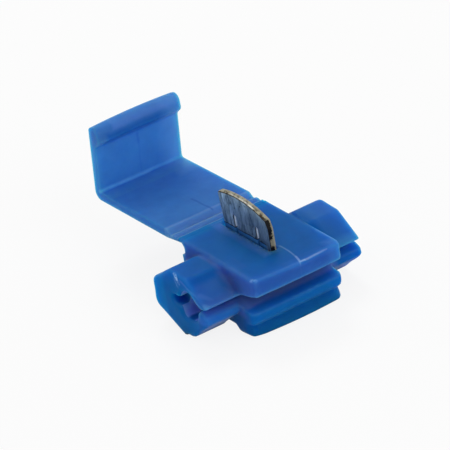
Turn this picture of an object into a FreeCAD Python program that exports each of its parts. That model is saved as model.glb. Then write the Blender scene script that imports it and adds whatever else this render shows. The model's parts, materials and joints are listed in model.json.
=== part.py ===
import FreeCAD, Part
import math
import os

# Tap splice connector, in millimetres, modelled open and ready for its wires.
# Working axes: X runs from the hinge to the open mouth, Y along the wires, Z up.
# While the pieces are built, x = 0 is the block's hinge side and z = 0 is its top face.
# At the end everything moves so that the origin lies on the axis of the run-wire channel,
# in the plane of the contact.

# Wire channels
CHANNEL_RADIUS = 1.9
CHANNEL_DEPTH = 3.95
WIRE_PITCH = 4.8
TAP_CHANNEL_INSET = 3.85
TAP_STOP_PAST_CONTACT = 7.4
CHANNEL_LEAD_IN = 0.25

# Splice block
BLOCK_WIDTH = 12.8
BLOCK_HEIGHT = 8.55
PLATE_OVERHANG = 2.05
PLATE_EDGE = 2.3
PLATE_DRAFT = 0.1
PLATE_CORNER = 1.0
PLATE_BOW = 0.35
TOP_ROUND = 0.4

# Lower jaw, with the bead that the lid snaps under
JAW_WIDTH = 13.4
JAW_PAST_RUN_WIRE = 5.7
JAW_CORNER = 1.3
JAW_BOW = 0.05
JAW_TOE_ROUND = 0.7
JAW_HEEL_ROUND = 1.2
JAW_UNDER_ROUND = 0.7
BEAD_PROUD = 1.05
BEAD_TOP = 4.4
BEAD_DEPTH = 2.3
BEAD_TOP_ROUND = 0.75
BEAD_LOW_ROUND = 1.1
BEAD_CORNER = 0.9

# Mouth, the side way into the run-wire channel
LIP_REACH = 0.85
LIP_TOP = 3.42
LIP_GAP = 0.34
LIP_GAP_AT_CHANNEL = 1.1
MOUTH_FLOOR_DROP = 1.0
MOUTH_FLOOR_RUN = 2.1
MOUTH_FLOOR_FLARE = 0.2

# Ports, the two ends that carry the channels past the block
PORT_LENGTH = 5.1
PORT_TOP_STEP = 0.25
PORT_RIM_ROUND = 0.35
PORT_HINGE_WALL = 1.2
PORT_LIP_WALL = 2.1
PORT_FLAT_PAST_TAP_WIRE = 1.3
PORT_SHOULDER_RISE = 1.2
PORT_CHEEK_DROP = 2.2
PORT_LIP_RISE = 1.05
PORT_LIP_DROP = 1.1
PORT_KEEL_LIFT = 0.1
PORT_KEEL_WALL = 1.0
PORT_KEEL_STEP = 0.6
PORT_BELLY_LIFT = 0.5
PORT_ROUND = 1.2
PORT_EDGE_ROUND = 0.3
SIGHT_NOTCH_REACH = 3.5
SIGHT_NOTCH_HEIGHT = 1.2
SIGHT_NOTCH_ROUND = 0.54
SIGHT_NOTCH_DEPTH = 1.6

# Living hinge: two grooves with a rib between them
HINGE_GROOVE_X = 0.75
HINGE_GROOVE_DEPTH = 0.36
HINGE_WEB = 0.25
HINGE_RIB_START = 0.36
HINGE_RIB_WIDTH = 0.45
HINGE_RIB_ROUND = 0.1
HINGE_OUTER_GROOVE = 0.76
HINGE_OUTER_GROOVE_DEPTH = 0.44
HINGE_STRAP_RAMP = 0.78
HINGE_SCOOP_RADIUS = 0.87
HINGE_SCOOP_DEPTH = 1.28

# Lid: strap plate, end wall and latch bead
LID_WIDTH = 12.6
LID_THICKNESS = 1.2
LID_RISE = 0.27
LID_DROOP_DEG = 1.3
LID_CLOSED_GAP = 0.05
LID_WALL_CLEARANCE = 0.7
LID_WALL_THICKNESS = 1.3
LID_WALL_LEAN_DEG = 9.0
LID_WALL_HEIGHT = 9.7
LID_HEEL_ROUND = 1.1
LID_INNER_ROUND = 0.25
LID_EDGE_ROUND = 0.2
LATCH_DEPTH = 3.0
LATCH_PROUD = 1.2
LATCH_HOOK_RISE = 0.55
LATCH_HOOK_ROUND = 0.3
LATCH_CROWN = 0.25
LATCH_BACK_DROP = 0.5
LATCH_ROUND = 0.9

# Contact: flat blade with two open slots
CONTACT_THICKNESS = 0.74
CONTACT_PAST_TAP_SLOT = 2.95
CONTACT_PAST_RUN_SLOT = 2.7
CONTACT_RAISED = 4.94
CONTACT_SINK = 0.06
CONTACT_FOOT_GAP = 0.39
CONTACT_CROWN_OFFSET = 0.75
CONTACT_ARCH_LEFT = 0.5
CONTACT_ARCH_RIGHT = 1.14
CONTACT_CORNER_RUN = 0.4
CONTACT_CORNER_DROP = 1.0
CONTACT_FLANK_LEAN_DEG = 6.4
CONTACT_PLAY = 0.06
WIRE_SLOT_WIDTH = 0.56
WIRE_SLOT_TOP = 2.8
WIRE_SLOT_ROUND = 0.22
WIRE_SLOT_ENTRY = 0.5
POCKET_FLOOR_GAP = 0.3

# Places that follow from the sizes above
HALF_WIDTH = BLOCK_WIDTH / 2
HALF_JAW = JAW_WIDTH / 2
HALF_LID = LID_WIDTH / 2
PORT_END = HALF_WIDTH + PORT_LENGTH
RUN_Z = -CHANNEL_DEPTH
TAP_CHANNEL_X = TAP_CHANNEL_INSET
RUN_CHANNEL_X = TAP_CHANNEL_X + WIRE_PITCH
JAW_X = RUN_CHANNEL_X + JAW_PAST_RUN_WIRE
BLOCK_LENGTH = JAW_X + PLATE_OVERHANG
LIP_X = RUN_CHANNEL_X + CHANNEL_RADIUS + LIP_REACH
HINGE_Z = (LID_RISE + LID_CLOSED_GAP) / 2
LID_TOP = LID_RISE
LID_BOTTOM = LID_RISE - LID_THICKNESS
WALL_FOOT_X = -2 * HINGE_GROOVE_X - BLOCK_LENGTH - LID_WALL_CLEARANCE
CONTACT_FOOT = RUN_Z + CHANNEL_RADIUS + CONTACT_FOOT_GAP
CONTACT_TRAVEL = CONTACT_RAISED + CONTACT_SINK
CONTACT_LEFT = TAP_CHANNEL_X - CONTACT_PAST_TAP_SLOT
CONTACT_RIGHT = RUN_CHANNEL_X + CONTACT_PAST_RUN_SLOT
TO_ORIGIN = FreeCAD.Vector(-RUN_CHANNEL_X, 0, -RUN_Z)

# Extra that a cut or a joined piece runs past the surface it meets
SKIN = 0.5


def rounded_outline(corners):
    """Closed wire in the XZ plane through corners (x, z, radius), each one rounded by its radius."""
    count = len(corners)
    trimmed = []
    for i in range(count):
        x, z, radius = corners[i]
        before = corners[i - 1]
        after = corners[(i + 1) % count]
        point = FreeCAD.Vector(x, 0, z)
        to_before = FreeCAD.Vector(before[0] - x, 0, before[1] - z).normalize()
        to_after = FreeCAD.Vector(after[0] - x, 0, after[1] - z).normalize()
        if radius == 0:
            trimmed.append((point, point, point))
            continue
        half = to_before.getAngle(to_after) / 2
        run = radius / math.tan(half)
        bisector = (to_before + to_after).normalize()
        middle = point + bisector * (radius / math.sin(half) - radius)
        trimmed.append((point + to_before * run, middle, point + to_after * run))
    edges = []
    for i in range(count):
        start, middle, end = trimmed[i]
        if not start.isEqual(end, 1e-7):
            edges.append(Part.Arc(start, middle, end).toShape())
        following = trimmed[(i + 1) % count][0]
        if not end.isEqual(following, 1e-7):
            edges.append(Part.makeLine(end, following))
    return Part.Wire(edges)


def slab(corners, y_low, y_high):
    """Solid of one XZ outline, carried along Y from y_low to y_high."""
    face = Part.Face(rounded_outline(corners))
    face.translate(FreeCAD.Vector(0, y_low, 0))
    return face.extrude(FreeCAD.Vector(0, y_high - y_low, 0))


def plan(length, half_width, corner, bow):
    """Tall prism of the block's plan: square at the hinge, rounded and bowed at the mouth."""
    far_left = FreeCAD.Vector(-SKIN, half_width, 0)
    near_left = FreeCAD.Vector(-SKIN, -half_width, 0)
    shoulder = length - bow
    bend = corner * (1 - math.sqrt(0.5))
    near_corner = Part.Arc(
        FreeCAD.Vector(shoulder - corner, -half_width, 0),
        FreeCAD.Vector(shoulder - bend, -half_width + bend, 0),
        FreeCAD.Vector(shoulder, -half_width + corner, 0),
    )
    front = Part.Arc(
        FreeCAD.Vector(shoulder, -half_width + corner, 0),
        FreeCAD.Vector(length, 0, 0),
        FreeCAD.Vector(shoulder, half_width - corner, 0),
    )
    far_corner = Part.Arc(
        FreeCAD.Vector(shoulder, half_width - corner, 0),
        FreeCAD.Vector(shoulder - bend, half_width - bend, 0),
        FreeCAD.Vector(shoulder - corner, half_width, 0),
    )
    wire = Part.Wire([
        Part.makeLine(near_left, near_corner.StartPoint),
        near_corner.toShape(),
        front.toShape(),
        far_corner.toShape(),
        Part.makeLine(far_corner.EndPoint, far_left),
        Part.makeLine(far_left, near_left),
    ])
    face = Part.Face(wire)
    face.translate(FreeCAD.Vector(0, 0, -BLOCK_HEIGHT - SKIN))
    return face.extrude(FreeCAD.Vector(0, 0, BLOCK_HEIGHT + 2 * SKIN))


def under_edges():
    """Long prism along X whose YZ outline rounds the jaw's two lower edges."""
    outline = slab([
        (-HALF_JAW, SKIN, 0),
        (HALF_JAW, SKIN, 0),
        (HALF_JAW, -BLOCK_HEIGHT, JAW_UNDER_ROUND),
        (-HALF_JAW, -BLOCK_HEIGHT, JAW_UNDER_ROUND),
    ], -BLOCK_LENGTH, SKIN)
    outline.rotate(FreeCAD.Vector(0, 0, 0), FreeCAD.Vector(0, 0, 1), 90)
    return outline


def edges_at(shape, axis, value):
    """Edges of a shape that lie wholly in the plane axis = value."""
    low = axis + "Min"
    high = axis + "Max"
    found = []
    for edge in shape.Edges:
        box = edge.BoundBox
        if abs(getattr(box, low) - value) < 1e-4 and abs(getattr(box, high) - value) < 1e-4:
            found.append(edge)
    return found


def top_plate():
    """Upper half of the block: the flat top that the lid closes on, overhanging the mouth."""
    body = slab([
        (0, 0, 0),
        (BLOCK_LENGTH, 0, 0),
        (BLOCK_LENGTH - PLATE_DRAFT, -PLATE_EDGE, 0),
        (LIP_X, RUN_Z, 0),
        (0, RUN_Z, 0),
    ], -HALF_WIDTH, HALF_WIDTH)
    body = body.common(plan(BLOCK_LENGTH, HALF_WIDTH, PLATE_CORNER, PLATE_BOW))
    rim = [e for e in edges_at(body, "Z", 0) if e.BoundBox.XMax > SKIN]
    return body.makeFillet(TOP_ROUND, rim)


def lower_jaw():
    """Lower half of the block, set back from the plate, flat underneath where the part rests."""
    body = slab([
        (0, RUN_Z + SKIN, 0),
        (JAW_X, RUN_Z + SKIN, 0),
        (JAW_X, -BLOCK_HEIGHT, JAW_TOE_ROUND),
        (0, -BLOCK_HEIGHT, JAW_HEEL_ROUND),
    ], -HALF_JAW, HALF_JAW)
    body = body.common(plan(JAW_X, HALF_JAW, JAW_CORNER, JAW_BOW))
    body = body.common(under_edges())
    tip = JAW_X + BEAD_PROUD
    bead = slab([
        (JAW_X - BEAD_DEPTH, -BEAD_TOP, 0),
        (tip, -BEAD_TOP, BEAD_TOP_ROUND),
        (tip, -BEAD_TOP - BEAD_DEPTH, BEAD_LOW_ROUND),
        (JAW_X - BEAD_DEPTH, -BEAD_TOP - BEAD_DEPTH, 0),
    ], -HALF_JAW, HALF_JAW)
    bead = bead.common(plan(tip, HALF_JAW, BEAD_CORNER, JAW_BOW))
    return body.fuse(bead)


def port(side):
    """One end port: a sloped wedge over the tap wire, a keel below it and a lip beyond the run wire."""
    hinge_x = TAP_CHANNEL_X - CHANNEL_RADIUS - PORT_HINGE_WALL
    lip_x = RUN_CHANNEL_X + CHANNEL_RADIUS + PORT_LIP_WALL
    belly_z = -BLOCK_HEIGHT + PORT_BELLY_LIFT
    keel_x = TAP_CHANNEL_X + CHANNEL_RADIUS + PORT_KEEL_WALL
    corners = [
        (hinge_x, RUN_Z + PORT_SHOULDER_RISE, PORT_ROUND),
        (hinge_x, RUN_Z - PORT_CHEEK_DROP, PORT_ROUND),
        (keel_x, -BLOCK_HEIGHT + PORT_KEEL_LIFT, PORT_EDGE_ROUND),
        (keel_x + PORT_KEEL_STEP, belly_z, PORT_EDGE_ROUND),
        (RUN_CHANNEL_X, belly_z, PORT_ROUND),
        (lip_x, RUN_Z - PORT_LIP_DROP, PORT_EDGE_ROUND),
        (lip_x, RUN_Z + PORT_LIP_RISE, PORT_EDGE_ROUND),
        (RUN_CHANNEL_X, -PORT_TOP_STEP, PORT_ROUND),
        (TAP_CHANNEL_X + PORT_FLAT_PAST_TAP_WIRE, -PORT_TOP_STEP, PORT_ROUND),
    ]
    inner = HALF_WIDTH - SKIN
    low, high = (inner, PORT_END) if side > 0 else (-PORT_END, -inner)
    body = slab(corners, low, high)
    return body.makeFillet(PORT_RIM_ROUND, edges_at(body, "Y", side * PORT_END))


def mouth():
    """The cut that opens the run-wire channel to the side: a V between plate and jaw, then a slit."""
    reach = BLOCK_LENGTH + SKIN
    ceiling = -LIP_TOP
    floor = ceiling - LIP_GAP
    slope = (LIP_TOP - PLATE_EDGE) / (BLOCK_LENGTH - LIP_X)
    wall_x = RUN_CHANNEL_X + CHANNEL_RADIUS
    inner_x = RUN_CHANNEL_X + CHANNEL_RADIUS / 2
    spread = (LIP_GAP_AT_CHANNEL - LIP_GAP) / 2
    return slab([
        (inner_x, ceiling + spread, 0),
        (wall_x, ceiling + spread, 0),
        (LIP_X, ceiling, 0),
        (reach, ceiling + (reach - LIP_X) * slope, 0),
        (reach, floor - MOUTH_FLOOR_DROP - MOUTH_FLOOR_FLARE, 0),
        (LIP_X + MOUTH_FLOOR_RUN, floor - MOUTH_FLOOR_DROP, 0),
        (LIP_X, floor, 0),
        (wall_x, floor - spread, 0),
        (inner_x, floor - spread, 0),
    ], -PORT_END - SKIN, PORT_END + SKIN)


def channel(x, y_start, y_end):
    """Round wire channel along Y from y_start to y_end."""
    ahead = FreeCAD.Vector(0, 1 if y_end > y_start else -1, 0)
    foot = FreeCAD.Vector(x, y_start, RUN_Z)
    return Part.makeCylinder(CHANNEL_RADIUS, abs(y_end - y_start), foot, ahead)


def lead_in(x, side):
    """Cone that eases a channel's edge at the end face of a port."""
    length = 2 * CHANNEL_LEAD_IN
    foot = FreeCAD.Vector(x, side * (PORT_END - CHANNEL_LEAD_IN), RUN_Z)
    return Part.makeCone(CHANNEL_RADIUS, CHANNEL_RADIUS + length, length, foot, FreeCAD.Vector(0, side, 0))


def contact_pocket():
    """Slot in the top plate that guides the contact, and the well below it for the legs."""
    length = CONTACT_RIGHT - CONTACT_LEFT + 2 * CONTACT_PLAY
    width = CONTACT_THICKNESS + 2 * CONTACT_PLAY
    floor = CONTACT_FOOT - CONTACT_TRAVEL - POCKET_FLOOR_GAP
    corner = FreeCAD.Vector(CONTACT_LEFT - CONTACT_PLAY, -width / 2, floor)
    return Part.makeBox(length, width, SKIN - floor, corner)


def sight_notch():
    """Shallow notch beside the run-wire channel in the end face that carries no tap wire."""
    left = RUN_CHANNEL_X - SIGHT_NOTCH_REACH
    half = SIGHT_NOTCH_HEIGHT / 2
    return slab([
        (left, RUN_Z + half, SIGHT_NOTCH_ROUND),
        (RUN_CHANNEL_X, RUN_Z + half, 0),
        (RUN_CHANNEL_X, RUN_Z - half, 0),
        (left, RUN_Z - half, SIGHT_NOTCH_ROUND),
    ], -PORT_END - SKIN, -PORT_END + SIGHT_NOTCH_DEPTH)


def hinge_scoop():
    """Round hollow under the strap along the block's hinge side."""
    foot = FreeCAD.Vector(0, -PORT_END, -HINGE_SCOOP_DEPTH)
    return Part.makeCylinder(HINGE_SCOOP_RADIUS, 2 * PORT_END, foot, FreeCAD.Vector(0, 1, 0))


def hinge_root():
    """The block's share of the hinge strap, out to the middle of the inner groove."""
    return slab([
        (SKIN, 0, 0),
        (0, 0, 0),
        (-HINGE_GROOVE_X, -HINGE_GROOVE_DEPTH, 0),
        (-HINGE_GROOVE_X, -HINGE_GROOVE_DEPTH - HINGE_WEB, 0),
        (SKIN, -HINGE_GROOVE_DEPTH, 0),
    ], -HALF_LID, HALF_LID)


def housing():
    """Splice block with both ports, all channels, the mouth and the contact's pocket."""
    body = top_plate().fuse([lower_jaw(), port(-1), port(1)])
    body = body.cut(hinge_scoop())
    body = body.fuse(hinge_root())
    cuts = [
        mouth(),
        channel(RUN_CHANNEL_X, -PORT_END - SKIN, PORT_END + SKIN),
        channel(TAP_CHANNEL_X, PORT_END + SKIN, -TAP_STOP_PAST_CONTACT),
        lead_in(RUN_CHANNEL_X, -1),
        lead_in(RUN_CHANNEL_X, 1),
        lead_in(TAP_CHANNEL_X, 1),
        sight_notch(),
        contact_pocket(),
    ]
    return body.cut(cuts).removeSplitter()


def lid():
    """Strap plate with its hinge grooves, the end wall and the latch bead along the wall's top."""
    lean = math.tan(math.radians(LID_WALL_LEAN_DEG))
    across = LID_WALL_THICKNESS / math.cos(math.radians(LID_WALL_LEAN_DEG))
    wall_top = LID_TOP + LID_WALL_HEIGHT
    latch_low = wall_top - LATCH_DEPTH
    latch_x = WALL_FOOT_X + lean * (latch_low - LID_TOP)
    outer_low = WALL_FOOT_X - across + lean * (LID_BOTTOM - LID_TOP)
    outer_top = WALL_FOOT_X - across + lean * LID_WALL_HEIGHT
    rib_near = -HINGE_GROOVE_X - HINGE_RIB_START
    rib_far = rib_near - HINGE_RIB_WIDTH
    strap_x = rib_far - HINGE_OUTER_GROOVE - HINGE_STRAP_RAMP
    body = slab([
        (-HINGE_GROOVE_X, -HINGE_GROOVE_DEPTH - HINGE_WEB, 0),
        (-HINGE_GROOVE_X, -HINGE_GROOVE_DEPTH, 0),
        (rib_near, 0, HINGE_RIB_ROUND),
        (rib_far, 0, HINGE_RIB_ROUND),
        (rib_far - HINGE_OUTER_GROOVE, -HINGE_OUTER_GROOVE_DEPTH, HINGE_RIB_ROUND),
        (strap_x, LID_TOP, LID_EDGE_ROUND),
        (WALL_FOOT_X, LID_TOP, LID_INNER_ROUND),
        (latch_x, latch_low, LID_INNER_ROUND),
        (latch_x + LATCH_PROUD, latch_low + LATCH_HOOK_RISE, LATCH_HOOK_ROUND),
        (latch_x + LATCH_PROUD, wall_top + LATCH_CROWN, LATCH_ROUND),
        (outer_top, wall_top - LATCH_BACK_DROP, LATCH_BACK_DROP),
        (outer_low, LID_BOTTOM, LID_HEEL_ROUND),
        (strap_x, LID_BOTTOM, 0),
    ], -HALF_LID, HALF_LID)
    sides = edges_at(body, "Y", -HALF_LID) + edges_at(body, "Y", HALF_LID)
    long_sides = [e for e in sides if e.BoundBox.XMin < strap_x - LID_EDGE_ROUND]
    body = body.makeFillet(LID_EDGE_ROUND, long_sides)
    pivot = FreeCAD.Vector(-HINGE_GROOVE_X, 0, HINGE_Z)
    body.rotate(pivot, FreeCAD.Vector(0, 1, 0), -LID_DROOP_DEG)
    past_hinge = FreeCAD.Vector(-HINGE_GROOVE_X, -LID_WIDTH, -LID_THICKNESS)
    return body.cut(Part.makeBox(SKIN, 2 * LID_WIDTH, 2 * LID_THICKNESS, past_hinge))


def contact():
    """Stamped blade: arched top, one cut corner, and two slots open below, one over each wire."""
    top = CONTACT_RAISED
    corner_z = top - CONTACT_ARCH_LEFT
    taper = math.tan(math.radians(CONTACT_FLANK_LEAN_DEG)) * (corner_z - CONTACT_FOOT)
    half_slot = WIRE_SLOT_WIDTH / 2
    middle_x = (CONTACT_LEFT + CONTACT_RIGHT) / 2
    crown = FreeCAD.Vector(middle_x - CONTACT_CROWN_OFFSET, 0, top)
    left_top = FreeCAD.Vector(CONTACT_LEFT, 0, corner_z)
    right_top = FreeCAD.Vector(CONTACT_RIGHT - CONTACT_CORNER_RUN, 0, top - CONTACT_ARCH_RIGHT)
    shoulder = FreeCAD.Vector(CONTACT_RIGHT, 0, top - CONTACT_ARCH_RIGHT - CONTACT_CORNER_DROP)
    right_foot = FreeCAD.Vector(CONTACT_RIGHT, 0, CONTACT_FOOT)
    left_foot = FreeCAD.Vector(CONTACT_LEFT + taper, 0, CONTACT_FOOT)
    wire = Part.Wire([
        Part.Arc(left_top, crown, right_top).toShape(),
        Part.makeLine(right_top, shoulder),
        Part.makeLine(shoulder, right_foot),
        Part.makeLine(right_foot, left_foot),
        Part.makeLine(left_foot, left_top),
    ])
    blade = Part.Face(wire)
    blade.translate(FreeCAD.Vector(0, -CONTACT_THICKNESS / 2, 0))
    body = blade.extrude(FreeCAD.Vector(0, CONTACT_THICKNESS, 0))
    for x in (TAP_CHANNEL_X, RUN_CHANNEL_X):
        slot = slab([
            (x - half_slot, top - WIRE_SLOT_TOP, WIRE_SLOT_ROUND),
            (x + half_slot, top - WIRE_SLOT_TOP, WIRE_SLOT_ROUND),
            (x + half_slot, CONTACT_FOOT + WIRE_SLOT_ENTRY, 0),
            (x + half_slot + WIRE_SLOT_ENTRY, CONTACT_FOOT, 0),
            (x + half_slot + WIRE_SLOT_ENTRY, CONTACT_FOOT - SKIN, 0),
            (x - half_slot - WIRE_SLOT_ENTRY, CONTACT_FOOT - SKIN, 0),
            (x - half_slot - WIRE_SLOT_ENTRY, CONTACT_FOOT, 0),
            (x - half_slot, CONTACT_FOOT + WIRE_SLOT_ENTRY, 0),
        ], -CONTACT_THICKNESS, CONTACT_THICKNESS)
        body = body.cut(slot)
    return body


def main():
    os.makedirs("parts", exist_ok=True)
    pieces = {"housing": housing(), "lid": lid(), "contact": contact()}
    for name, shape in pieces.items():
        shape.translate(TO_ORIGIN)
        solid = shape.Solids[0]
        box = solid.BoundBox
        print(name, "valid", shape.isValid(), "solids", len(shape.Solids), "volume", round(solid.Volume, 2))
        print("  x", round(box.XMin, 3), round(box.XMax, 3), "y", round(box.YMin, 3), round(box.YMax, 3))
        print("  z", round(box.ZMin, 3), round(box.ZMax, 3))
        solid.exportStep("parts/" + name + ".step")
    print("contact travel", round(CONTACT_TRAVEL, 3), "closing angle", 180 + LID_DROOP_DEG)


main()
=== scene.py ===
"""Looks of a tap splice connector: softened block, hinged lid, stamped contact, and a pale stage.

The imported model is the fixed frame. Each piece is worked out in millimetres and put into its mesh
in metres, at the place that the frame gives.
"""

import json
import math

import bmesh
import bpy
import numpy as np
from bpy.props import FloatProperty, FloatVectorProperty, IntProperty, PointerProperty
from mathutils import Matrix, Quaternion, Vector


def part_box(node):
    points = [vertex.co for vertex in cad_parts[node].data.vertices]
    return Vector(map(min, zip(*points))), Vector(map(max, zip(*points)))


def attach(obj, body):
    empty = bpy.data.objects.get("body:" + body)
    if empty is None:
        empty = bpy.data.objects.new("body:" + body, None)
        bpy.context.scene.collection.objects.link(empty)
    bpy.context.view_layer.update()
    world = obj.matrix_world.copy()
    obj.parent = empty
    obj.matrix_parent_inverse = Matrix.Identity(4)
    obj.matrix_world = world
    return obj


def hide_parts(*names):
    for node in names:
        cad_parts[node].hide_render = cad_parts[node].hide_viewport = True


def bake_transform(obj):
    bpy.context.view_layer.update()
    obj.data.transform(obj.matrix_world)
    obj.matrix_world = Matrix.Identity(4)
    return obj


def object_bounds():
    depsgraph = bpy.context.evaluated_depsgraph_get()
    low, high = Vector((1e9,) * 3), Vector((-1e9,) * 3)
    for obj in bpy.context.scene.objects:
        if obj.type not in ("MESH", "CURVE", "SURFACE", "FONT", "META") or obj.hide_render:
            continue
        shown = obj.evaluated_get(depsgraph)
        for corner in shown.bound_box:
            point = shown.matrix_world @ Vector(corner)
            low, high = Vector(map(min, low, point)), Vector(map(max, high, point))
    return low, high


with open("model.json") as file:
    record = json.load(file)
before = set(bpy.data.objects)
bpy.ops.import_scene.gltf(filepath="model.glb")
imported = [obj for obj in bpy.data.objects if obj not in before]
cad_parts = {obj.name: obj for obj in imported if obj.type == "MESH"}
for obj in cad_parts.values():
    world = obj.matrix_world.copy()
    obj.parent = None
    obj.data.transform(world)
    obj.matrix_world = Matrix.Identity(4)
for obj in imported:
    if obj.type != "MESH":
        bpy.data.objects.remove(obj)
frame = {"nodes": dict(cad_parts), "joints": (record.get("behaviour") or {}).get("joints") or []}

bl_info = {
    "name": "Tap splice connector",
    "version": (1, 0, 0),
    "blender": (4, 5, 0),
    "location": "3D View > Sidebar > Splice",
    "description": "Builds the looks of a blue tap splice connector around its construction model",
    "category": "Add Mesh",
}

CAD_LOW, CAD_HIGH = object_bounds()
MM = 0.001
BOTTOM_SINK = 0.15  # millimetres by which the block's bottom lies lower than the construction's
HOUSING_LOW, HOUSING_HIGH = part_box("housing")
LID_LOW, LID_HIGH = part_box("lid")
CONTACT_LOW, CONTACT_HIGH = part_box("contact")
HINGE = next(Vector(j["pos_m"]) for j in frame["joints"] if j["type"] == "hinge")


class MouldingSettings(bpy.types.PropertyGroup):
    """Sizes and colours of the blue plastic."""

    colour: FloatVectorProperty(
        name="Block colour",
        description="Blue of the thick block",
        subtype="COLOR",
        size=3,
        min=0.0,
        max=1.0,
        default=(0.006, 0.099, 0.35),
    )
    # Painted glow: the lid's paler blue stands for light that comes through the thin plastic.
    thin_colour: FloatVectorProperty(
        name="Lid colour",
        description="Paler blue of the thin lid, through which more light comes",
        subtype="COLOR",
        size=3,
        min=0.0,
        max=1.0,
        default=(0.036, 0.148, 0.385),
    )
    glow_depth: FloatProperty(
        name="Glow depth",
        description="How far blue light travels inside the plastic",
        default=0.009,
        unit="LENGTH",
    )
    edge_grid: FloatProperty(
        name="Softening grid",
        description="Grid of the remesh that rounds the block's edges",
        default=0.000175,
        unit="LENGTH",
    )
    edge_passes: IntProperty(
        name="Softening passes",
        description="How many times the block's skin is smoothed",
        default=3,
        min=0,
    )
    crease_passes: IntProperty(
        name="Crease passes",
        description="How many times more the round creases of the jaw and the ports are smoothed",
        default=20,
        min=0,
    )


class LidSettings(bpy.types.PropertyGroup):
    """Sizes of the lid, its hinge grooves and its latch bead."""

    thickness: FloatProperty(
        name="Plate thickness",
        description="Thickness of the lid plate",
        default=0.0012,
        unit="LENGTH",
    )
    rise: FloatProperty(
        name="Rise",
        description="Height of the open lid's top face above the block's top",
        default=0.00027,
        unit="LENGTH",
    )
    droop: FloatProperty(
        name="Droop",
        description="How far the open lid hangs below level",
        default=math.radians(1.3),
        subtype="ANGLE",
    )
    groove_x: FloatProperty(
        name="Inner groove",
        description="Distance of the inner hinge groove from the block",
        default=0.00075,
        unit="LENGTH",
    )
    web: FloatProperty(
        name="Hinge web",
        description="Thickness of the plastic at the bottom of the inner groove",
        default=0.00025,
        unit="LENGTH",
    )
    edge_round: FloatProperty(
        name="Edge rounding",
        description="Radius of the lid's long side edges",
        default=0.0002,
        unit="LENGTH",
    )
    wall_height: FloatProperty(
        name="Wall height",
        description="Height of the end wall above the lid plate",
        default=0.0097,
        unit="LENGTH",
    )
    wall_lean: FloatProperty(
        name="Wall lean",
        description="Lean of the end wall towards the block",
        default=math.radians(9.0),
        subtype="ANGLE",
    )
    latch_crown: FloatProperty(
        name="Latch crown",
        description="How much the latch bead stands up in the middle of its length",
        default=0.00023,
        unit="LENGTH",
    )


class ContactSettings(bpy.types.PropertyGroup):
    """Colours of the stamped contact."""

    tin: FloatVectorProperty(
        name="Tin",
        description="Colour of the tinned faces",
        subtype="COLOR",
        size=3,
        min=0.0,
        max=1.0,
        default=(0.42, 0.62, 0.8),
    )
    tarnish: FloatVectorProperty(
        name="Tarnish",
        description="Colour of the dark mottles",
        subtype="COLOR",
        size=3,
        min=0.0,
        max=1.0,
        default=(0.05, 0.10, 0.17),
    )
    sheared: FloatVectorProperty(
        name="Sheared edge",
        description="Colour of the bare metal where the blade was cut",
        subtype="COLOR",
        size=3,
        min=0.0,
        max=1.0,
        default=(0.35, 0.33, 0.235),
    )


class StageSettings(bpy.types.PropertyGroup):
    """Camera, lamps and floor."""

    azimuth: FloatProperty(
        name="Camera azimuth",
        description="Direction of the camera round the object, from the side that faces -Y",
        default=math.radians(60.928),
        subtype="ANGLE",
    )
    elevation: FloatProperty(
        name="Camera elevation",
        description="Height of the camera above level",
        default=math.radians(27.734),
        subtype="ANGLE",
    )
    roll: FloatProperty(
        name="Camera roll",
        description="Turn of the camera about its own line of sight",
        default=math.radians(-10.186),
        subtype="ANGLE",
    )
    distance: FloatProperty(
        name="Camera distance",
        description="Distance from the camera to the point it looks at",
        default=0.45753,
        unit="LENGTH",
    )
    aim: FloatVectorProperty(
        name="Camera aim",
        description="Point that the camera looks at",
        subtype="XYZ",
        size=3,
        default=(-0.008236, 0.000041, 0.0033),
        unit="LENGTH",
    )
    lens: FloatProperty(
        name="Camera lens",
        description="Focal length of the camera on a 36 mm wide sensor, in millimetres",
        default=298.0,
    )
    world_strength: FloatProperty(
        name="Sky strength",
        description="Strength of the even light from all round",
        default=0.55,
    )
    back_power: FloatProperty(
        name="Back lamp",
        description="Power of the soft lamp behind the end wall",
        default=0.85,
        subtype="POWER",
    )
    front_power: FloatProperty(
        name="Front lamp",
        description="Power of the soft lamp that faces the open mouth",
        default=1.0,
        subtype="POWER",
    )
    floor_colour: FloatVectorProperty(
        name="Floor colour",
        description="Colour of the pale floor",
        subtype="COLOR",
        size=3,
        min=0.0,
        max=1.0,
        default=(0.9, 0.9, 0.9),
    )


def add_node(tree, kind, values=None, **settings):
    """New shader node with its settings, and the given input sockets set to values or linked to sockets."""
    node = tree.nodes.new(kind)
    for name, value in settings.items():
        setattr(node, name, value)
    for name, value in (values or {}).items():
        socket = node.inputs[name]
        if isinstance(value, bpy.types.NodeSocket):
            tree.links.new(value, socket)
        else:
            socket.default_value = value
    return node


def maths(tree, operation, *values, **settings):
    """Result of a Math node on values or sockets."""
    made = add_node(tree, "ShaderNodeMath", dict(enumerate(values)), operation=operation, **settings)
    return made.outputs[0]


def vector_maths(tree, operation, *values, output="Vector"):
    """Result of a Vector Math node on values or sockets; a number comes out of its output Value."""
    made = add_node(tree, "ShaderNodeVectorMath", dict(enumerate(values)), operation=operation)
    return made.outputs[output]


def product(tree, first, *others):
    """Values multiplied one after another."""
    for other in others:
        first = maths(tree, "MULTIPLY", first, other)
    return first


def split(tree, vector):
    """The three parts of a vector."""
    return add_node(tree, "ShaderNodeSeparateXYZ", {0: vector}).outputs


def empty_material(name):
    """Material with an empty node tree and its output node."""
    material = bpy.data.materials.new(name)
    material.use_nodes = True
    tree = material.node_tree
    tree.nodes.clear()
    return material, tree, tree.nodes.new("ShaderNodeOutputMaterial")


def noise(tree, place, scale, detail, roughness=0.5):
    """Noise texture on a place, from 0 to 1."""
    values = {"Vector": place, "Scale": scale, "Detail": detail, "Roughness": roughness}
    return add_node(tree, "ShaderNodeTexNoise", values).outputs["Fac"]


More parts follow.
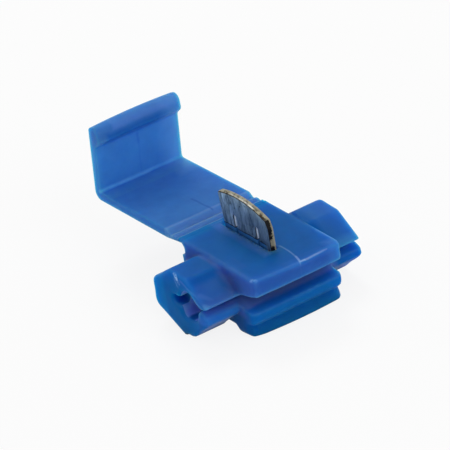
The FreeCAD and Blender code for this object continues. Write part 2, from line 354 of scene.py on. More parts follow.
def remap(tree, value, low, high, new_low, new_high):
    """Value moved from the range low to high into the range new_low to new_high, held at its ends."""
    ends = {"From Min": low, "From Max": high, "To Min": new_low, "To Max": new_high}
    return add_node(tree, "ShaderNodeMapRange", {"Value": value, **ends}).outputs["Result"]


def mixed_colour(tree, factor, first, second):
    """Colour between first and second, which are sockets or red, green and blue."""
    values = {"Factor": factor}
    for name, side in (("A", first), ("B", second)):
        values[name] = side if isinstance(side, bpy.types.NodeSocket) else (*side, 1.0)
    return add_node(tree, "ShaderNodeMix", values, data_type="RGBA").outputs["Result"]


def layered(tree, colour, *layers):
    """Colour with layers, each a mask and a colour, laid over it one after another."""
    for mask, above in layers:
        colour = mixed_colour(tree, mask, colour, above)
    return colour


def soft_box(tree, place, centre, half, soft):
    """Mask that is 1 inside a box and fades to 0 within a soft border round it; sizes in millimetres."""
    away = vector_maths(tree, "SUBTRACT", place, tuple(c * MM for c in centre))
    away = vector_maths(tree, "ABSOLUTE", away)
    away = vector_maths(tree, "SUBTRACT", away, tuple(h * MM for h in half))
    x, y, z = split(tree, away)
    most = maths(tree, "MAXIMUM", maths(tree, "MAXIMUM", x, y), z)
    return remap(tree, most, 0.0, soft * MM, 1.0, 0.0)


def streak(tree, place, start, end, width, soft):
    """Mask that is 1 within width of the line from start to end and fades within soft; millimetres.

    The nearest point of the line is start plus the line times a share, which is the place's share of the
    way along the line, held between 0 and 1.
    """
    line = Vector(end) - Vector(start)
    away = vector_maths(tree, "SUBTRACT", place, tuple(c * MM for c in start))
    share = vector_maths(tree, "DOT_PRODUCT", away, tuple(line / line.length_squared / MM), output="Value")
    share = maths(tree, "MULTIPLY", share, 1.0, use_clamp=True)
    near = add_node(tree, "ShaderNodeVectorMath", {0: tuple(line * MM), "Scale": share}, operation="SCALE")
    off = vector_maths(tree, "DISTANCE", away, near.outputs[0], output="Value")
    return remap(tree, off, width * MM, (width + soft) * MM, 1.0, 0.0)


def between(tree, value, low, high, soft):
    """Mask that is 1 while a value lies between low and high and fades within soft beyond them."""
    rise = remap(tree, value, low - soft, low, 0.0, 1.0)
    return product(tree, rise, remap(tree, value, high, high + soft, 1.0, 0.0))


def wandered(tree, place, drift, reach):
    """Place moved along each axis by up to half of reach either way, as the colour drift says."""
    moved = vector_maths(tree, "MULTIPLY_ADD", drift, (reach,) * 3, place)
    return vector_maths(tree, "SUBTRACT", moved, (reach / 2,) * 3)


def weld_line(tree, place):
    """Mask of the fine weld line on the plate.

    It runs from the contact to the mouth along y = 0.98 - 0.035 * (x - 3.35)^2 in millimetres and fades
    down the front face.
    """
    peak_x, peak_y, bend = 3.35 * MM, 0.98 * MM, -0.035 / MM
    x, y, z = split(tree, place)
    along = maths(tree, "SUBTRACT", x, peak_x)
    curve = maths(tree, "MULTIPLY_ADD", product(tree, along, along), bend, peak_y)
    off = maths(tree, "ABSOLUTE", maths(tree, "SUBTRACT", y, curve))
    line = remap(tree, off, 0.03 * MM, 0.17 * MM, 1.0, 0.0)
    past_contact = remap(tree, x, 2.3 * MM, 2.7 * MM, 0.0, 1.0)
    at_top = remap(tree, z, 3.3 * MM, 3.8 * MM, 0.07, 1.0)
    above_jaw = remap(tree, z, 1.4 * MM, 2.2 * MM, 0.0, 1.0)
    return product(tree, line, past_contact, at_top, above_jaw)


# Boxes of colour over the plastic's blue; most are painted light and shade, marked row by row.
TINTS_AND_PAINTED_LIGHT = (
    # centre, half size, soft border, colour, strength
    ((-8.3, 0.0, 3.6), (0.35, 6.6, 0.8), 0.7, (0.001, 0.12, 0.38), 0.8),
    # painted light: paler blue round the contact's pocket, over the shade and shadow beside the blade
    ((-2.6, -0.9, 3.9), (5.4, 0.35, 0.4), 0.9, (0.04, 0.14, 0.50), 1.0),
    ((7.5, 0.0, 2.6), (0.6, 6.4, 0.9), 0.5, (0.03, 0.115, 0.36), 0.9),
    ((0.0, 9.8, 3.0), (5.4, 1.6, 2.4), 0.9, (0.026, 0.135, 0.40), 0.8),
    # painted glow: paler blue on the far port's thin lip, for light coming through it
    ((3.6, 9.5, 0.9), (0.9, 1.8, 0.5), 0.5, (0.04, 0.18, 0.45), 0.8),
    ((3.0, -9.5, 2.2), (1.4, 1.6, 1.2), 0.7, (0.03, 0.12, 0.38), 0.8),
    # painted shade: lighter, redder blue in the shaded mouth
    ((4.6, 0.0, 0.2), (3.0, 7.0, 0.9), 0.9, (0.07, 0.145, 0.42), 1.0),
    # painted light: paler blue over the shade on the jaw's top inside the mouth
    ((6.6, 0.0, -0.5), (1.3, 7.0, 0.35), 0.4, (0.035, 0.14, 0.42), 0.9),
    # painted shade: purple-tinged blue in the near port's mouth
    ((2.9, -8.9, 0.1), (2.0, 2.0, 0.9), 0.7, (0.05, 0.10, 0.36), 0.9),
    # painted shade: purple-tinged blue on the shaded side faces of the plate and jaw that face -Y
    ((0.0, -6.6, 1.0), (8.0, 0.15, 2.6), 0.6, (0.045, 0.115, 0.38), 0.9),
    # painted light: paler blue over the shade on the near port's lower lip
    ((3.6, -9.3, -0.9), (1.2, 2.2, 0.4), 0.5, (0.02, 0.13, 0.45), 1.0),
    # painted shade: purple-tinged blue in the corner between the near port and the plate
    ((2.2, -6.1, 2.4), (0.7, 0.6, 0.7), 1.0, (0.05, 0.11, 0.36), 0.7),
    ((6.4, 0.0, -2.6), (1.0, 7.2, 2.2), 0.7, (0.004, 0.105, 0.37), 0.9),
    ((7.2, 0.0, -1.6), (1.2, 7.2, 1.0), 0.6, (0.006, 0.12, 0.38), 0.9),
    # painted glow: saturated, paler blue on the near port's end face, for light coming through it
    ((-3.0, -11.6, 0.0), (4.5, 0.3, 5.0), 0.5, (0.001, 0.12, 0.39), 0.9),
    # painted glow: paler cyan along the left edge of the near port's end face
    ((-7.0, -11.6, 0.5), (1.4, 0.3, 3.0), 0.8, (0.001, 0.16, 0.43), 0.8),
    # painted light: pale blue inside the near port's bore, over its shade
    ((0.0, -6.2, 0.0), (1.93, 4.95, 1.93), 0.1, (0.14, 0.25, 0.60), 1.0),
    # painted glow: paler blue on the thin hinge strap, for light coming through it
    ((-10.8, 0.0, 4.0), (1.2, 6.5, 1.0), 0.3, (0.085, 0.195, 0.43), 0.9),
    # painted light: paler blue over the shade in the hinge groove
    ((-9.6, 0.0, 4.0), (0.5, 6.5, 1.0), 0.25, (0.055, 0.14, 0.41), 0.9),
    # painted glow: greener, paler blue on the thin end wall, which the back lamp shines through
    ((-27.0, 0.0, 8.0), (2.0, 7.0, 3.6), 0.9, (0.05, 0.20, 0.37), 0.9),
    ((-26.0, 0.0, 12.6), (1.6, 7.0, 1.4), 0.6, (0.055, 0.175, 0.36), 0.8),
    # painted shade: darker band under the latch bead's roll
    ((-25.3, 0.5, 11.4), (0.8, 5.0, 0.5), 0.7, (0.008, 0.105, 0.33), 0.8),
    # painted highlight: pale band along the latch bead's top
    ((-25.4, 1.0, 13.0), (0.6, 4.6, 0.2), 0.5, (0.09, 0.21, 0.44), 0.7),
    # painted glow: pale blue at the end wall's far edge, for light coming through it
    ((-26.8, 5.8, 7.0), (2.0, 0.5, 4.5), 2.6, (0.12, 0.30, 0.50), 0.6),
    # painted glow: paler cyan at the plate's far front corner, for light coming through it
    ((7.3, 6.0, 2.6), (0.6, 0.5, 1.2), 1.2, (0.04, 0.17, 0.43), 0.7),
)
# Lines of colour over the plastic's blue; most are painted highlights, glow or shadow, marked row by row.
STREAKS_AND_PAINTED_LIGHT = (
    # start, end, half width, soft border, colour, strength, broken up by grain
    # painted highlight: pale line along the hinge groove's edge
    ((-9.05, -6.4, 4.0), (-9.05, 6.4, 4.0), 0.08, 0.16, (0.11, 0.25, 0.52), 0.8, False),
    ((-26.25, 0.1, 10.0), (-26.4, 0.1, 8.6), 0.03, 0.3, (0.02, 0.09, 0.29), 0.5, False),
    ((-26.2, 0.1, 11.0), (-27.25, 0.1, 4.2), 0.02, 0.2, (0.02, 0.10, 0.31), 0.16, False),
    # painted highlight: pale band along the concave foot of the end wall
    ((-27.25, -6.4, 3.95), (-27.25, 6.4, 3.95), 0.08, 0.35, (0.10, 0.34, 0.50), 0.9, False),
    # painted shadow: dark edge of the end wall's shadow on the lid plate
    ((-16.0, 0.35, 4.05), (-11.5, 0.5, 4.15), 0.03, 0.2, (0.015, 0.08, 0.28), 0.7, False),
    # painted highlight: pale line along the top rim of the near port's end face
    ((-1.0, -11.5, 3.2), (4.3, -11.5, 1.4), 0.05, 0.22, (0.06, 0.18, 0.46), 0.6, False),
    # painted glow: pale cyan at the tip of the near port's thin lip
    ((3.9, -11.4, 1.5), (4.7, -10.5, 1.5), 0.1, 0.6, (0.12, 0.27, 0.58), 0.8, False),
    # painted highlight: faint pale mark on the near port's slope
    ((2.6, -10.9, 2.3), (3.6, -10.0, 1.9), 0.05, 0.5, (0.09, 0.19, 0.46), 0.7, False),
    # painted highlight on small nicks: whitish marks on the near port's rim, broken up by grain
    ((-2.5, -11.5, 4.0), (-1.7, -11.5, 3.2), 0.1, 0.25, (0.30, 0.50, 0.78), 0.8, True),
    ((-1.75, -11.5, 3.35), (-1.3, -11.5, 2.75), 0.08, 0.25, (0.30, 0.48, 0.76), 0.8, True),
    ((-2.1, -11.5, 2.9), (-1.7, -11.5, 2.2), 0.05, 0.3, (0.15, 0.33, 0.60), 0.5, True),
    # painted highlight: pale line along the plate's near top edge
    ((-2.0, -6.4, 4.0), (7.2, -6.4, 4.0), 0.05, 0.3, (0.05, 0.16, 0.42), 0.5, False),
    # painted highlight: pale mark on the plate's near top corner, broken up by grain
    ((6.8, -6.3, 3.95), (7.4, -5.9, 3.95), 0.02, 0.35, (0.22, 0.38, 0.68), 0.8, True),
    # painted highlights: pale lines along the plate's front top edge
    ((7.75, 1.0, 3.9), (7.6, 4.4, 3.9), 0.04, 0.16, (0.24, 0.31, 0.58), 0.6, False),
    ((7.4, -6.0, 3.9), (7.7, 0.6, 3.9), 0.04, 0.25, (0.06, 0.16, 0.43), 0.5, False),
    # painted highlight: pale line along the plate's far top edge
    ((2.9, 6.35, 3.95), (7.0, 6.35, 3.95), 0.08, 0.3, (0.06, 0.16, 0.43), 0.6, False),
    # painted glow: light coming through the slit at the far port's lip
    ((3.7, 10.9, 0.35), (4.3, 10.3, 0.2), 0.15, 0.3, (0.18, 0.45, 0.72), 0.9, False),
    # painted highlight: bright star at the weld line's end
    ((6.3, 0.7, 3.95), (7.7, 0.35, 3.95), 0.05, 0.14, (0.25, 0.36, 0.64), 0.6, False),
    ((7.7, 0.35, 3.9), (7.7, 1.0, 3.9), 0.05, 0.14, (0.28, 0.40, 0.68), 0.7, False),
)


def moulding_material(settings):
    """Translucent blue plastic, painted paler where it is thin for the light that comes through, with tints,
    painted light, shade and highlights, a weld line and a satin skin.
    """
    material, tree, output = empty_material("blue_moulding")
    place = add_node(tree, "ShaderNodeAttribute", attribute_name="rest_place").outputs["Vector"]
    wander = add_node(tree, "ShaderNodeTexNoise", {"Vector": place, "Scale": 350.0, "Detail": 2.0})
    drift = wander.outputs["Color"]
    uneven = wandered(tree, place, drift, 0.4 * MM)
    # Painted glow: the thin lid takes the paler blue, for the light that comes through it.
    thin = remap(tree, split(tree, place)["X"], -8.8 * MM, -9.1 * MM, 0.0, 1.0)
    colour = mixed_colour(tree, thin, tuple(settings.colour), tuple(settings.thin_colour))
    for centre, half, soft, tint, strength in TINTS_AND_PAINTED_LIGHT:
        mask = soft_box(tree, uneven, centre, half, soft)
        colour = mixed_colour(tree, product(tree, mask, strength), colour, tint)
    # Painted highlight: the block's up-facing outward edges are made paler.
    edge = add_node(tree, "ShaderNodeAttribute", attribute_name="edge_light").outputs["Fac"]
    colour = mixed_colour(tree, product(tree, edge, 0.3), colour, (0.05, 0.15, 0.41))
    grain = remap(tree, noise(tree, place, 3500.0, 3.0, 0.6), 0.42, 0.60, 0.15, 1.0)
    for start, end, width, soft, tint, strength, broken in STREAKS_AND_PAINTED_LIGHT:
        mask = product(tree, streak(tree, uneven, start, end, width, soft), strength)
        colour = mixed_colour(tree, product(tree, mask, grain) if broken else mask, colour, tint)
    # The weld line is a fine groove, made by the bump below; its pale colour is a painted highlight along
    # it.
    weld = weld_line(tree, wandered(tree, place, drift, 0.2 * MM))
    colour = mixed_colour(tree, product(tree, weld, 0.55), colour, (0.14, 0.28, 0.52))
    cloud = remap(tree, noise(tree, place, 420.0, 4.0, 0.6), 0.3, 0.7, 0.93, 1.07)
    colour = add_node(tree, "ShaderNodeHueSaturation", {"Color": colour, "Value": cloud}).outputs["Color"]
    satin = remap(tree, noise(tree, place, 900.0, 4.0), 0.3, 0.7, 0.36, 0.46)
    height = maths(tree, "MULTIPLY_ADD", weld, 0.8, noise(tree, place, 1500.0, 3.0))
    bump = add_node(tree, "ShaderNodeBump", {"Height": height, "Strength": 0.25, "Distance": 0.04 * MM})
    shader = add_node(tree, "ShaderNodeBsdfPrincipled", {
        "Base Color": colour,
        "Roughness": satin,
        "Normal": bump.outputs["Normal"],
        "IOR": 1.49,
        "Specular IOR Level": 0.025,
        "Subsurface Weight": 1.0,
        "Subsurface Radius": (0.15, 0.45, 1.0),
        "Subsurface Scale": settings.glow_depth,
    })
    tree.links.new(shader.outputs["BSDF"], output.inputs["Surface"])
    return material


def tinned_face(tree, place, upright, mottle, settings):
    """Colour of the flat faces: mottled tin, darker to the right and in streaks to the foot, with pits."""
    x, _, z = split(tree, place)
    to_right = remap(tree, x, -6.0 * MM, 2.0 * MM, 0.0, 0.6)
    to_foot = remap(tree, z, 6.2 * MM, 4.3 * MM, 0.0, 0.55)
    streaks = remap(tree, noise(tree, upright, 2600.0, 2.0), 0.42, 0.60, 0.25, 1.0)
    pits = remap(tree, noise(tree, place, 1300.0, 2.0), 0.66, 0.72, 0.0, 0.9)
    return layered(
        tree,
        tuple(settings.tin),
        (mottle, tuple(settings.tarnish)),
        (to_right, (0.055, 0.11, 0.19)),
        (product(tree, to_foot, streaks), (0.012, 0.045, 0.085)),
        (pits, (0.006, 0.012, 0.012)),
    )


def torn_side(tree, place, x, y, z):
    """Mask of the dark torn patches down the front of the blade's right side."""
    jagged = maths(tree, "MULTIPLY_ADD", noise(tree, place, 2600.0, 2.0), 0.5 * MM, y)
    at_front = remap(tree, jagged, 0.42 * MM, 0.37 * MM, 0.0, 1.0)
    at_right = remap(tree, x, 2.15 * MM, 2.3 * MM, 0.0, 1.0)
    upper = between(tree, z, 5.95 * MM, 8.0 * MM, 0.1 * MM)
    middle = between(tree, z, 5.35 * MM, 5.65 * MM, 0.08 * MM)
    foot = remap(tree, z, 4.35 * MM, 4.2 * MM, 0.3, 1.0)
    patches = maths(tree, "MAXIMUM", maths(tree, "MAXIMUM", upper, middle), foot)
    return product(tree, at_front, at_right, patches)


def cut_face(tree, place, settings):
    """Colour of the faces that the tool cut.

    The top edge is bare, with brown specks, a painted gleam along its middle and painted shade on its rolled
    front rim. The right side is torn. The slots' walls have painted shade at the front and painted light
    behind.
    """
    x, y, z = split(tree, place)
    specks = remap(tree, noise(tree, place, 1250.0, 4.0, 0.65), 0.47, 0.53, 0.0, 1.0)
    specks = product(tree, specks, remap(tree, y, 0.2 * MM, -0.1 * MM, 0.3, 1.0))
    gleam = product(
        tree,
        between(tree, y, -0.28 * MM, -0.1 * MM, 0.06 * MM),
        between(tree, x, -4.5 * MM, 1.5 * MM, 1.2 * MM),
        remap(tree, noise(tree, place, 900.0, 2.0), 0.45, 0.58, 0.0, 0.8),
    )
    # Painted shade on the rolled front rim of the cut edge.
    rim_shade = remap(tree, y, -0.26 * MM, -0.31 * MM, 0.0, 0.95)
    left = remap(tree, x, 1.0 * MM, 1.2 * MM, 1.0, 0.0)
    # Painted shade on the slots' walls at the front, and painted light behind their front rim.
    in_slot = product(tree, left, remap(tree, z, 6.3 * MM, 6.0 * MM, 0.0, 1.0))
    lit_slot = product(tree, in_slot, remap(tree, y, -0.28 * MM, -0.22 * MM, 0.0, 1.0))
    return layered(
        tree,
        tuple(settings.sheared),
        (specks, (0.035, 0.022, 0.008)),
        (gleam, (0.85, 0.84, 0.74)),
        (rim_shade, (0.018, 0.016, 0.012)),
        (torn_side(tree, place, x, y, z), (0.002, 0.002, 0.003)),
        (in_slot, (0.02, 0.03, 0.05)),
        (lit_slot, (0.80, 0.90, 1.0)),
    )


def contact_material(settings):
    """Stamped metal with tinned faces and bare cut edges.

    The cut_edge attribute tells the faces cut by the tool from the flat ones. The foot of the blade is
    painted the blue of the plastic that it stands in, a painted reflection of the plastic, up to a wavy dark
    line.
    """
    material, tree, output = empty_material("stamped_metal")
    place = add_node(tree, "ShaderNodeAttribute", attribute_name="rest_place").outputs["Vector"]
    x, _, z = split(tree, place)
    upright = add_node(tree, "ShaderNodeMapping", {"Vector": place, "Scale": (1.0, 1.0, 0.3)}).outputs[0]
    mottle = remap(tree, noise(tree, upright, 1500.0, 5.0, 0.65), 0.36, 0.68, 0.0, 1.0)
    side = add_node(tree, "ShaderNodeAttribute", attribute_name="cut_edge").outputs["Fac"]
    on_edge = remap(tree, side, 0.05, 0.1, 0.0, 1.0)
    standing = remap(tree, x, 1.5 * MM, 2.0 * MM, 1.0, 0.0)
    wavy = maths(tree, "MULTIPLY_ADD", noise(tree, place, 800.0, 2.0), -0.3 * MM, z)
    foot_line = product(tree, between(tree, wavy, 4.08 * MM, 4.2 * MM, 0.05 * MM), standing)
    # Painted reflection: the blade's foot takes the blue of the plastic round it.
    foot = product(tree, remap(tree, wavy, 4.12 * MM, 4.06 * MM, 0.0, 1.0), standing)
    colour = layered(
        tree,
        tinned_face(tree, place, upright, mottle, settings),
        (on_edge, cut_face(tree, place, settings)),
        (foot_line, (0.006, 0.015, 0.03)),
        (foot, (0.035, 0.17, 0.44)),
    )
    bump = add_node(tree, "ShaderNodeBump", {"Height": mottle, "Strength": 0.4, "Distance": 0.03 * MM})
    shader = add_node(tree, "ShaderNodeBsdfPrincipled", {
        "Base Color": colour,
        "Metallic": remap(tree, maths(tree, "MAXIMUM", on_edge, foot), 0.0, 1.0, 0.35, 0.0),
        "Specular IOR Level": 0.15,
        "Roughness": remap(tree, mottle, 0.0, 1.0, 0.35, 0.55),
        "Normal": bump.outputs["Normal"],
    })
    tree.links.new(shader.outputs["BSDF"], output.inputs["Surface"])
    return material


def side_normals(points):
    """Outward unit normal of each side of a closed outline, from a corner to the next one."""
    along = np.roll(points, -1, axis=0) - points
    normal = np.stack([along[:, 1], -along[:, 0]], axis=1)
    normal /= np.linalg.norm(normal, axis=1, keepdims=True)
    x, z = points[:, 0], points[:, 1]
    turning = np.sum(x * np.roll(z, -1) - np.roll(x, -1) * z)
    return normal if turning > 0 else -normal


def inset_corners(corners, inset):
    """Corners (x, z, radius, share) moved inwards by share * inset on both their sides.

    A corner moves by the sum of its two sides' normals over one plus their product, so that the sides
    stay parallel to themselves; an outer corner's radius shrinks by the same step and an inner one's grows.
    """
    points = corners[:, :2]
    after = side_normals(points)
    before = np.roll(after, 1, axis=0)
    step = inset * corners[:, 3:4]
    moved = points - step * (before + after) / (1 + np.sum(before * after, axis=1, keepdims=True))
    turn = before[:, 0] * after[:, 1] - before[:, 1] * after[:, 0]
    x, z = points[:, 0], points[:, 1]
    outer = np.sign(turn) == np.sign(np.sum(x * np.roll(z, -1) - np.roll(x, -1) * z))
    radius = corners[:, 2] - step[:, 0] * np.where(outer, 1.0, -1.0)
    radius = np.where(corners[:, 2] > 0, np.maximum(radius, 0.01), 0.0)
    return np.column_stack([moved, radius])


def rounded_outline(corners, arc_steps=8):
    """Closed outline through corners (x, z, radius): each corner becomes an arc that touches both its sides.

    An arc's points are its centre plus the radius times the cosine and sine of evenly spaced angles.
    """
    points = corners[:, :2]
    pieces = []
    for i, (x, z, radius) in enumerate(corners):
        corner = np.array([x, z])
        to_before = points[i - 1] - corner
        to_after = points[(i + 1) % len(points)] - corner
        to_before /= np.linalg.norm(to_before)
        to_after /= np.linalg.norm(to_after)
        if radius == 0.0:
            pieces.append(corner[None, :])
            continue
        half = math.acos(np.clip(to_before @ to_after, -1.0, 1.0)) / 2
        middle = to_before + to_after
        centre = corner + middle / np.linalg.norm(middle) * radius / math.sin(half)
        first = corner + to_before * radius / math.tan(half) - centre
        last = corner + to_after * radius / math.tan(half) - centre
        start = math.atan2(first[1], first[0])
        turn = (math.atan2(last[1], last[0]) - start + math.pi) % (2 * math.pi) - math.pi
        angles = start + turn * np.linspace(0.0, 1.0, arc_steps)
        pieces.append(centre + radius * np.stack([np.cos(angles), np.sin(angles)], axis=1))
    return np.concatenate(pieces)


def inset_outlines(corners, insets, step):
    """One outline for each inset, all with the same number of points.

    The long runs of the first outline are cut into equal parts no longer than step, and the same cuts
    are made in the others.
    """
    corners = np.array(corners, float)
    plain = rounded_outline(inset_corners(corners, 0.0))
    run = np.linalg.norm(np.roll(plain, -1, axis=0) - plain, axis=1)
    cuts = np.maximum(1, np.ceil(run / step).astype(int))
    start = np.repeat(np.arange(len(plain)), cuts)
    first = np.concatenate([[0], np.cumsum(cuts)[:-1]])
    share = ((np.arange(cuts.sum()) - first[start]) / cuts[start])[:, None]
    outlines = []
    for inset in insets:
        ring = rounded_outline(inset_corners(corners, inset))
        outlines.append(ring[start] * (1 - share) + np.roll(ring, -1, axis=0)[start] * share)
    return np.array(outlines)


def arc_through(start, middle, end, steps):
    """Points on the circle through three points: centre plus radius times cosine and sine of even angles."""
    (ax, ay), (bx, by), (cx, cy) = start, middle, end
    twice = 2 * (ax * (by - cy) + bx * (cy - ay) + cx * (ay - by))
    a2, b2, c2 = ax * ax + ay * ay, bx * bx + by * by, cx * cx + cy * cy
    centre_x = (a2 * (by - cy) + b2 * (cy - ay) + c2 * (ay - by)) / twice
    centre_y = (a2 * (cx - bx) + b2 * (ax - cx) + c2 * (bx - ax)) / twice
    first = math.atan2(ay - centre_y, ax - centre_x)
    last = math.atan2(cy - centre_y, cx - centre_x)
    turns = np.linspace(first, last, steps)
    radius = math.hypot(ax - centre_x, ay - centre_y)
    return np.stack([centre_x + radius * np.cos(turns), centre_y + radius * np.sin(turns)], axis=1)


def rounded_stations(half, radius, steps=6, middle_steps=24):
    """Places along Y and insets that round both ends.

    On an end's round the place is half - radius + radius * sine and the inset radius * (1 - cosine).
    """
    angle = np.linspace(0.0, math.pi / 2, steps)
    end_y = half - radius + radius * np.sin(angle)
    end_inset = radius * (1 - np.cos(angle))
    middle = np.linspace(-half + radius, half - radius, middle_steps)[1:-1]
    places = np.concatenate([-end_y[::-1], middle, end_y])
    insets = np.concatenate([end_inset[::-1], np.zeros(len(middle)), end_inset])
    return places, insets


def carried(name, outlines, places, bend=None):
    """Solid made by carrying XZ outlines along Y.

    The grid's point (i, j) is point j of outline i at place i. The skin is closed round the outlines, with
    a cap at each end. bend may move the grid's points, given as an array of (places, points, 3) in
    millimetres.
    """
    rows, ring = outlines.shape[:2]
    grid = np.empty((rows, ring, 3))
    grid[:, :, 0] = outlines[:, :, 0]
    grid[:, :, 1] = places[:, None]
    grid[:, :, 2] = outlines[:, :, 1]
    if bend is not None:
        grid = bend(grid)
    row, column = np.meshgrid(np.arange(rows - 1), np.arange(ring), indexing="ij")
    following = (column + 1) % ring
    quads = np.stack([
        row * ring + column,
        row * ring + following,
        (row + 1) * ring + following,
        (row + 1) * ring + column,
    ], axis=-1).reshape(-1, 4)
    faces = quads.tolist()
    faces.append(list(range(ring))[::-1])
    faces.append(list(range((rows - 1) * ring, rows * ring)))
    mesh = bpy.data.meshes.new(name)
    mesh.from_pydata((grid.reshape(-1, 3) * MM).tolist(), [], faces)
    made = bmesh.new()
    made.from_mesh(mesh)
    bmesh.ops.recalc_face_normals(made, faces=made.faces)
    caps = [face for face in made.faces if len(face.verts) > 4]
    bmesh.ops.triangulate(made, faces=caps, ngon_method="BEAUTY")
    made.to_mesh(mesh)
    made.free()
    mesh.shade_smooth()
    return mesh


def add_object(name, mesh, material):
    """Object at the origin that shows a mesh in a material; rest_place keeps its points' places at rest."""
    points = np.empty(len(mesh.vertices) * 3, np.float32)
    mesh.vertices.foreach_get("co", points)
    place = mesh.attributes.new("rest_place", "FLOAT_VECTOR", "POINT")
    place.data.foreach_set("vector", points)
    mesh.materials.clear()
    mesh.materials.append(material)
    return plain_object(name, mesh)


def smooth_share(values, start, end):
    """Share from 0 at start to 1 at end, eased at both: 3 t^2 - 2 t^3."""
    t = np.clip((values - start) / (end - start), 0.0, 1.0)
    return t * t * (3 - 2 * t)


def settled(mesh):
    """Block moved into the moulded part's slightly warped shape; sizes in millimetres.

    The bottom sinks, and nothing lies below it. The lower jaw's front and the plate's top front edge bow
    out by 1 - ((y - middle) / reach)^2. The plate's front corners are drawn out by the square of sin 2t
    round their centres. The ports' chins stand out, the jaw's heels lift, and the ports are deeper towards
    the hinge. Each share is 1 at its own place and fades to 0 beside it.
    """
    jaw_bow, plate_bow, bow_middle, bow_reach = 0.5, 0.25, 0.8, 7.5
    corner_x, corner_y, corner_draw = 6.75, 5.4, 0.2
    near_chin, far_chin, port_sink = 0.26, 0.34, 0.2
    under_tuck, under_sink, back_rise = 0.15, 0.3, 0.16
    heel_lift, jaw_end_out, plate_end_out, hinge_side_out = 0.65, 0.2, 0.22, 0.15
    x, y, z = (all_points(mesh) / MM).T.copy()
    side = np.abs(y)
    in_jaw = smooth_share(side, 7.2, 6.7)
    in_port = 1 - in_jaw
    low = smooth_share(z, -2.6, -4.4)
    front = smooth_share(x, 3.0, 5.0)
    top_front = smooth_share(z, 3.0, 3.9) * smooth_share(x, 5.5, 7.3)
    near_corner = smooth_share(y, -4.5, -6.7) * front * in_jaw
    heel = smooth_share(x, 3.0, 2.0) * smooth_share(side, 5.4, 6.2) * in_jaw * low
    under_port = in_port * smooth_share(z, -0.3, -1.5) * smooth_share(x, 1.0, -1.5)
    port_chin = in_port * smooth_share(z, -0.6, -1.8) * smooth_share(x, 0.0, 2.5)
    port_back = in_port * smooth_share(z, 2.0, 3.4) * smooth_share(x, -0.5, -4.0)
    plate_end = in_jaw * smooth_share(y, 5.0, 6.2) * smooth_share(z, 1.0, 2.0)
    jaw_end = in_jaw * smooth_share(y, 5.5, 6.5) * low * front
    hinge_side = smooth_share(x, -7.3, -7.7) * smooth_share(side, 3.5, 4.5) * smooth_share(z, 1.4, 2.0)
    bow = np.clip(1 - ((y - bow_middle) / bow_reach) ** 2, 0.0, 1.0)
    corner_u, corner_v = x - corner_x, side - corner_y
    turn = np.arctan2(corner_v, corner_u)
    at_corner = (corner_u > 0) & (corner_v > 0) & (z > 1.2)
    off_centre = smooth_share(np.hypot(corner_u, corner_v), 0.2, 0.9)
    draw = corner_draw * np.sin(2 * turn) ** 2 * at_corner * off_centre
    move_x = bow * (jaw_bow * in_jaw * low * front + plate_bow * top_front) + draw * np.cos(turn)
    move_x += np.where(y > 0, far_chin, near_chin) * port_chin
    move_x -= under_tuck * under_port + hinge_side_out * hinge_side
    move_y = draw * np.sin(turn) * np.sign(y) + plate_end_out * plate_end + jaw_end_out * jaw_end
    move_z = heel_lift * heel + back_rise * port_back - BOTTOM_SINK * low * (1 - near_corner)
    move_z -= port_sink * in_port * low * (1 - under_port) + under_sink * under_port
    moved = np.stack([x + move_x, y + move_y, z + move_z], axis=1)
    moved[:, 2] = np.maximum(moved[:, 2], HOUSING_LOW.z / MM - BOTTOM_SINK)
    mesh.vertices.foreach_set("co", (moved * MM).ravel())
    mesh.update()


def all_points(mesh):
    """Places of a mesh's points, one row each."""
    points = np.empty(len(mesh.vertices) * 3)
    mesh.vertices.foreach_get("co", points)
    return points.reshape(-1, 3)


def calmed(mesh, points, rounds, share=1.0):
    """Points after rounds of moving each one half way to its neighbours' mean, times its share."""
    count = len(points)
    ends = np.empty(len(mesh.edges) * 2, np.int32)
    mesh.edges.foreach_get("vertices", ends)
    here = np.concatenate([ends[0::2], ends[1::2]])
    there = np.concatenate([ends[1::2], ends[0::2]])
    links = np.maximum(np.bincount(here, minlength=count), 1)
    for _ in range(rounds):
        mean = np.stack([np.bincount(here, points[there, i], count) / links for i in range(3)], axis=1)
        points = points + (mean - points) * 0.5 * share
    return points


SOFT_PLACES = (
    # centre, half size, soft border: creases that the mould leaves rounder than the plate's edges
    ((6.5, 0.0, -2.7), (1.5, 7.0, 0.5), 0.5),
    ((0.8, -8.9, 3.3), (1.6, 1.7, 1.0), 0.5),
    ((0.8, 8.9, 3.3), (1.6, 1.5, 1.0), 0.4),
    ((3.6, -9.2, -1.0), (1.2, 2.0, 0.6), 0.4),
)


def softened(mesh, rounds, soft_rounds):
    """All edges rounded a little and the soft places more."""
    points = calmed(mesh, all_points(mesh), rounds)
    share = np.zeros(len(points))
    for centre, half, soft in SOFT_PLACES:
        away = np.max(np.abs(points / MM - centre) - half, axis=1)
        share = np.maximum(share, np.clip(1 - away / soft, 0.0, 1.0))
    points = calmed(mesh, points, soft_rounds, share[:, None])
    mesh.vertices.foreach_set("co", points.ravel())
    mesh.update()


def outward_edges(mesh, rounds=8, full=0.00005):
    """Attribute edge_light, the mask of a painted highlight: how far the block's upward points stand out of
    their surroundings, 1 at full.
    """
    points = all_points(mesh)
    count = len(points)
    calm = calmed(mesh, points, rounds)
    normals = np.empty(count * 3)
    mesh.vertex_normals.foreach_get("vector", normals)
    normals = normals.reshape(-1, 3)
    out = np.sum((points - calm) * normals, axis=1) * np.clip(2 * normals[:, 2], 0.0, 1.0)
    on_block = smooth_share(points[:, 0], -8.4 * MM, -7.4 * MM)
    light = mesh.attributes.new("edge_light", "FLOAT", "POINT")
    light.data.foreach_set("value", np.clip(out * on_block / full, 0.0, 1.0).astype(np.float32))


